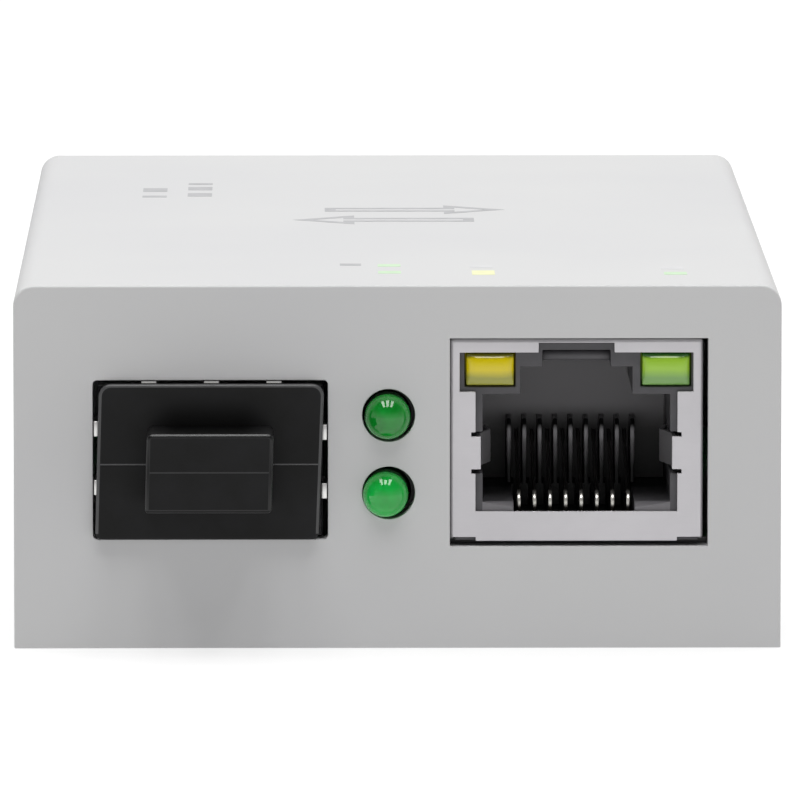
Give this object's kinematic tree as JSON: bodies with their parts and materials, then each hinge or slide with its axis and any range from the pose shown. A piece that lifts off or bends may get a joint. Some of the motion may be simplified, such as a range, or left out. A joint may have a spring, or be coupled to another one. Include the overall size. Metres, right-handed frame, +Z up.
{
  "type": "fibre media converter",
  "caption": "Pocket fibre media converter: slim moulded box with a pluggable-module cage under a push-in dust plug, a shielded network jack, round indicators and a rear DC inlet.",
  "frame": {"origin": "centre of the flat underside of the case", "axes": "+Z up out of the underside, +Y from the port face to the back, +X to the right seen from the port face"},
  "size_m": [0.05, 0.09, 0.0238],
  "materials": {
    "case_plastic": "moulded light grey plastic, fine satin texture",
    "base_plastic": "moulded light grey plastic, fine satin texture",
    "screw_steel": "zinc-plated steel",
    "board_laminate": "glass-epoxy board under green solder mask",
    "cage_metal": "nickel-plated folded sheet",
    "shield_metal": "nickel-plated folded sheet",
    "contact_metal": "gold-flashed spring wire",
    "jack_plastic": "black glass-filled plastic",
    "potting": "black potting resin",
    "plug_rubber": "black soft moulded plastic, satin",
    "green_lamp": "green-tinted clear epoxy",
    "jack_green_lamp": "green diffused epoxy",
    "jack_yellow_lamp": "yellow diffused epoxy",
    "chip_resin": "moulded epoxy",
    "crystal_metal": "drawn steel can",
    "can_metal": "drawn aluminium can",
    "ferrite": "ferrite shell",
    "ceramic": "fired ceramic"
  },
  "bodies": {
    "converter": {"top_cover": "case_plastic", "base_plate": "base_plastic", "case_screws": "screw_steel", "circuit_board": "board_laminate", "board_screws": "screw_steel", "sfp_cage_tub": "cage_metal", "sfp_cage_lid": "cage_metal", "sfp_spring_collar": "cage_metal", "sfp_host_connector": "jack_plastic", "sfp_host_contacts": "contact_metal", "rj45_shield": "shield_metal", "rj45_insert": "jack_plastic", "rj45_magnetics": "potting", "rj45_contacts": "contact_metal", "rj45_lamp_left": "jack_yellow_lamp", "rj45_lamp_right": "jack_green_lamp", "lower_indicator": "green_lamp", "upper_indicator": "green_lamp", "indicator_holder": "jack_plastic", "indicator_leads": "screw_steel", "dc_inlet_body": "jack_plastic", "dc_inlet_pin": "cage_metal", "dc_inlet_spring": "cage_metal", "controller_chip": "chip_resin", "memory_chip": "chip_resin", "regulator_chip": "chip_resin", "power_inductor": "ferrite", "clock_crystal": "crystal_metal", "electrolytic_cans": "can_metal", "chip_parts": "ceramic"},
    "dust_plug": {"dust_plug": "plug_rubber"}
  },
  "joints": [
    {"name": "dust_plug_slide", "type": "slide", "parent": "converter", "child": "dust_plug", "axis": [0, -1, 0], "range_m": [0, 0.03]}
  ]
}
